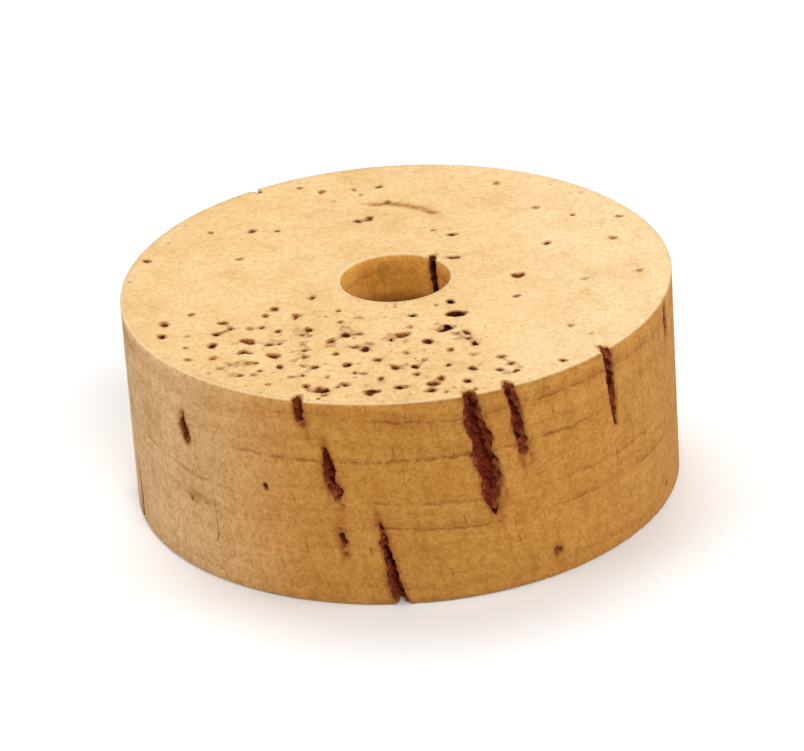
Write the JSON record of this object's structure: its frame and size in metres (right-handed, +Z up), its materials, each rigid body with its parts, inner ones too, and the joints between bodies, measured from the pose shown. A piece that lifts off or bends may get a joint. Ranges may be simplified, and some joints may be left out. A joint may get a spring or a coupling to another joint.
{
  "type": "cork ring",
  "caption": "Bored natural-cork disc with lenticel slits in its side and pores in its faces, stacked on a rod or mandrel and glued up into grips and handles.",
  "frame": {"origin": "on the bore's axis, at the lower face that the ring rests on", "axes": "+Z runs up the bore's axis, which is also the ring's short direction, and -Y faces the front, where the widest slit is"},
  "size_m": [0.0318, 0.0318, 0.0127],
  "materials": {
    "cork_ring": "matt, unsealed natural cork, turned and bored"
  },
  "bodies": {
    "root": {"cork_ring": "cork_ring"}
  },
  "joints": []
}
